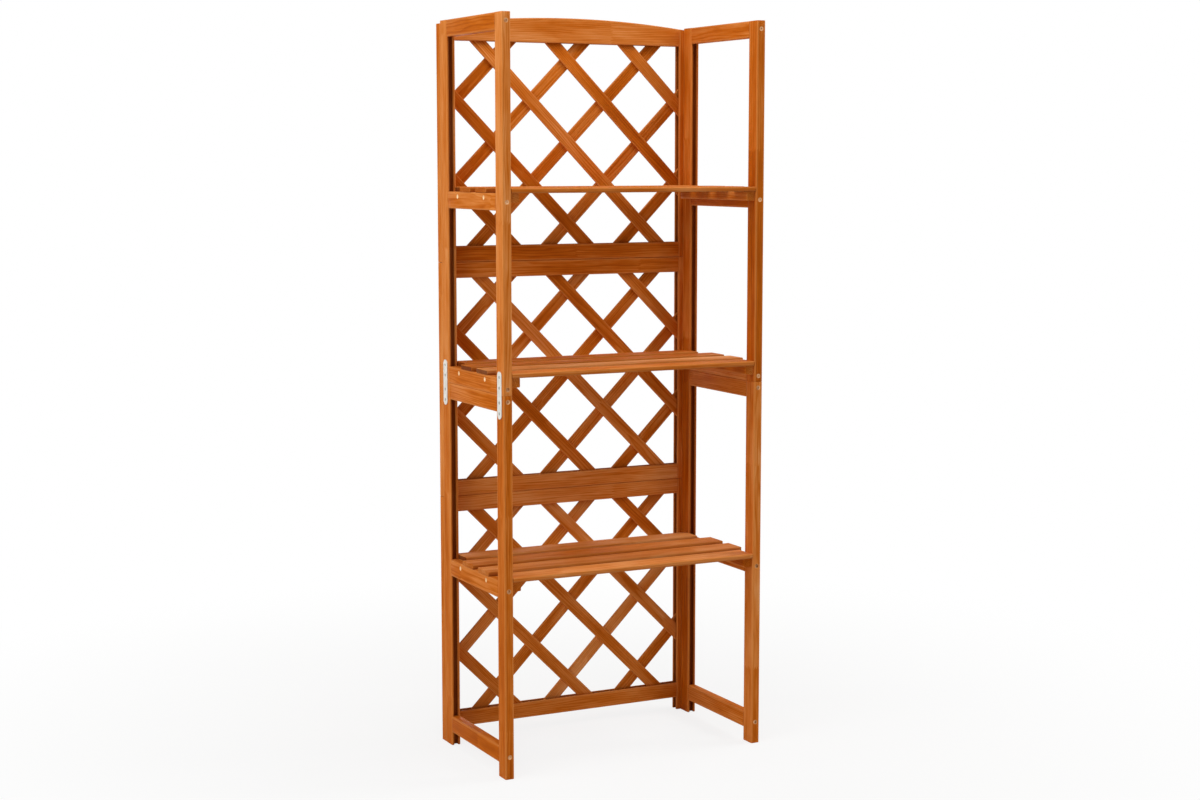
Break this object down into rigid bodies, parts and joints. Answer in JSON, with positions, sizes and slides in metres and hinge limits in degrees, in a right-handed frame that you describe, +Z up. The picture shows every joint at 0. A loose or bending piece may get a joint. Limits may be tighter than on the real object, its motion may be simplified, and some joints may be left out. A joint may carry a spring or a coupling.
{
  "type": "plant shelf with trellis back",
  "caption": "Free-standing slatted wooden plant shelf with open side frames and a lattice trellis back with an arched top rail.",
  "frame": {"origin": "centre of the footprint, on the floor", "axes": "+X to the right and +Y to the back seen from the front, +Z up"},
  "size_m": [0.628, 0.348, 1.6145],
  "materials": {
    "stained_wood": "orange-brown stain, satin, eased edges",
    "zinc_steel": "bright zinc plate",
    "yellow_zinc": "yellow zinc plate"
  },
  "bodies": {
    "root": {"left_upper_front_post": "stained_wood", "left_upper_rear_post": "stained_wood", "left_lower_front_post": "stained_wood", "left_lower_rear_post": "stained_wood", "right_upper_front_post": "stained_wood", "right_upper_rear_post": "stained_wood", "right_lower_front_post": "stained_wood", "right_lower_rear_post": "stained_wood", "left_upper_top_rail": "stained_wood", "left_upper_shelf_rail": "stained_wood", "left_upper_bottom_rail": "stained_wood", "left_lower_top_rail": "stained_wood", "left_lower_shelf_rail": "stained_wood", "left_lower_bottom_rail": "stained_wood", "right_upper_top_rail": "stained_wood", "right_upper_shelf_rail": "stained_wood", "right_upper_bottom_rail": "stained_wood", "right_lower_top_rail": "stained_wood", "right_lower_shelf_rail": "stained_wood", "right_lower_bottom_rail": "stained_wood", "upper_shelf_slat_1": "stained_wood", "upper_shelf_slat_2": "stained_wood", "upper_shelf_slat_3": "stained_wood", "upper_shelf_slat_4": "stained_wood", "middle_shelf_slat_1": "stained_wood", "middle_shelf_slat_2": "stained_wood", "middle_shelf_slat_3": "stained_wood", "middle_shelf_slat_4": "stained_wood", "lower_shelf_slat_1": "stained_wood", "lower_shelf_slat_2": "stained_wood", "lower_shelf_slat_3": "stained_wood", "lower_shelf_slat_4": "stained_wood", "upper_shelf_left_batten": "stained_wood", "upper_shelf_right_batten": "stained_wood", "middle_shelf_left_batten": "stained_wood", "middle_shelf_right_batten": "stained_wood", "lower_shelf_left_batten": "stained_wood", "lower_shelf_right_batten": "stained_wood", "upper_trellis_left_stile": "stained_wood", "upper_trellis_right_stile": "stained_wood", "middle_trellis_left_stile": "stained_wood", "middle_trellis_right_stile": "stained_wood", "lower_trellis_left_stile": "stained_wood", "lower_trellis_right_stile": "stained_wood", "upper_trellis_top_rail": "stained_wood", "upper_trellis_bottom_rail": "stained_wood", "middle_trellis_top_rail": "stained_wood", "middle_trellis_bottom_rail": "stained_wood", "lower_trellis_top_rail": "stained_wood", "lower_trellis_bottom_rail": "stained_wood", "upper_trellis_front_strips": "stained_wood", "upper_trellis_back_strips": "stained_wood", "middle_trellis_front_strips": "stained_wood", "middle_trellis_back_strips": "stained_wood", "lower_trellis_front_strips": "stained_wood", "lower_trellis_back_strips": "stained_wood", "joining_plates": "zinc_steel", "plate_screws": "zinc_steel", "frame_screws": "yellow_zinc", "shelf_screws": "yellow_zinc"}
  },
  "joints": []
}
